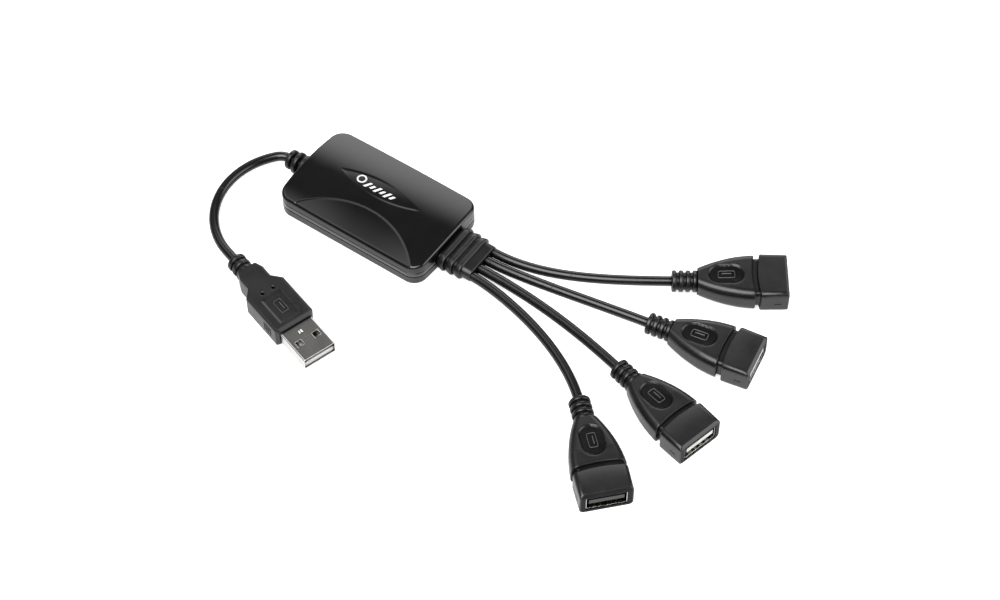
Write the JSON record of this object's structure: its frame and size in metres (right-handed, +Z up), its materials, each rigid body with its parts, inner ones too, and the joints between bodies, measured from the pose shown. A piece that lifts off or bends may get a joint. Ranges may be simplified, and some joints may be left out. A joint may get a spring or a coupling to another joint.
{
  "type": "usb hub",
  "caption": "Small black USB hub: a gloss case with a short lead and plug at one end and female sockets on flexible cables fanning out of the other.",
  "frame": {"origin": "middle of the case's underside, on the surface it rests on", "axes": "+X along the case towards the sockets, +Y across it, +Z up"},
  "size_m": [0.189, 0.1223, 0.0101],
  "materials": {
    "case_plastic": "polished black ABS",
    "moulding": "satin black PVC moulding",
    "cable_jacket": "satin black PVC jacket",
    "shell_metal": "nickel-plated steel",
    "contact_metal": "thin gold plating",
    "receptacle_plastic": "black glass-filled plastic",
    "pale_plastic": "natural white plastic",
    "board": "green solder resist",
    "chip_plastic": "moulded epoxy",
    "crystal_can": "plated can",
    "chip_ceramic": "fired ceramic",
    "core_insulation": "coloured core insulation"
  },
  "bodies": {
    "case": {"top_cover": "case_plastic", "bottom_cover": "case_plastic", "circuit_board": "board", "hub_controller": "chip_plastic", "controller_leads": "contact_metal", "crystal": "crystal_can", "capacitors": "chip_ceramic", "resistors": "chip_ceramic", "fan_relief": "moulding", "lead_relief": "moulding", "lead_cores": "core_insulation", "port_1_cores": "core_insulation", "port_2_cores": "core_insulation", "port_3_cores": "core_insulation", "port_4_cores": "core_insulation"},
    "cable_1": {"port_cable_1": "cable_jacket"},
    "socket_1": {"socket_1_overmould": "moulding", "socket_1_inner_mould": "pale_plastic", "socket_1_shell": "shell_metal", "socket_1_tongue": "pale_plastic", "socket_1_contacts": "contact_metal"},
    "cable_2": {"port_cable_2": "cable_jacket"},
    "socket_2": {"socket_2_overmould": "moulding", "socket_2_inner_mould": "pale_plastic", "socket_2_shell": "shell_metal", "socket_2_tongue": "pale_plastic", "socket_2_contacts": "contact_metal"},
    "cable_3": {"port_cable_3": "cable_jacket"},
    "socket_3": {"socket_3_overmould": "moulding", "socket_3_inner_mould": "pale_plastic", "socket_3_shell": "shell_metal", "socket_3_tongue": "pale_plastic", "socket_3_contacts": "contact_metal"},
    "cable_4": {"port_cable_4": "cable_jacket"},
    "socket_4": {"socket_4_overmould": "moulding", "socket_4_inner_mould": "pale_plastic", "socket_4_shell": "shell_metal", "socket_4_tongue": "receptacle_plastic", "socket_4_contacts": "contact_metal"},
    "lead": {"lead_cable": "cable_jacket"},
    "plug": {"plug_overmould": "moulding", "plug_inner_mould": "pale_plastic", "plug_shell": "shell_metal", "plug_insulator": "pale_plastic", "plug_contacts": "contact_metal"}
  },
  "joints": [
    {"name": "cable_1_lift", "type": "hinge", "parent": "case", "child": "cable_1", "pos_m": [0.05055, 0.00664, 0.0044], "axis": [0.1576, -0.9875, 0], "range_deg": [0, 60], "deforming": ["port_cable_1"]},
    {"name": "socket_1_turn", "type": "hinge", "parent": "cable_1", "child": "socket_1", "pos_m": [0.09017, 0.02495, 0.0044], "axis": [0, 0, 1], "range_deg": [-15, 40], "deforming": ["port_cable_1"]},
    {"name": "cable_2_lift", "type": "hinge", "parent": "case", "child": "cable_2", "pos_m": [0.05057, 0.00251, 0.0044], "axis": [0.1085, -0.9941, 0], "range_deg": [0, 60], "deforming": ["port_cable_2"]},
    {"name": "socket_2_turn", "type": "hinge", "parent": "cable_2", "child": "socket_2", "pos_m": [0.09181, 0.00952, 0.0044], "axis": [0, 0, 1], "range_deg": [-15, 15], "deforming": ["port_cable_2"]},
    {"name": "cable_3_lift", "type": "hinge", "parent": "case", "child": "cable_3", "pos_m": [0.0506, -0.0021, 0.0044], "axis": [-0.0259, -0.9997, 0], "range_deg": [0, 60], "deforming": ["port_cable_3"]},
    {"name": "socket_3_turn", "type": "hinge", "parent": "cable_3", "child": "socket_3", "pos_m": [0.09363, -0.00763, 0.0044], "axis": [0, 0, 1], "range_deg": [-15, 15], "deforming": ["port_cable_3"]},
    {"name": "cable_4_lift", "type": "hinge", "parent": "case", "child": "cable_4", "pos_m": [0.05056, -0.00667, 0.0044], "axis": [-0.1387, -0.9903, 0], "range_deg": [0, 60], "deforming": ["port_cable_4"]},
    {"name": "socket_4_turn", "type": "hinge", "parent": "cable_4", "child": "socket_4", "pos_m": [0.09218, -0.02205, 0.0044], "axis": [0, 0, 1], "range_deg": [-40, 15], "deforming": ["port_cable_4"]},
    {"name": "lead_swing", "type": "hinge", "parent": "case", "child": "lead", "pos_m": [-0.04238, -0.00312, 0.004], "axis": [0, 0, 1], "range_deg": [-60, 15], "deforming": ["lead_cable"]},
    {"name": "plug_lift", "type": "hinge", "parent": "lead", "child": "plug", "pos_m": [-0.03223, -0.04234, 0.004], "axis": [-0.4031, -0.9152, 0], "range_deg": [0, 45], "deforming": ["lead_cable"]}
  ]
}
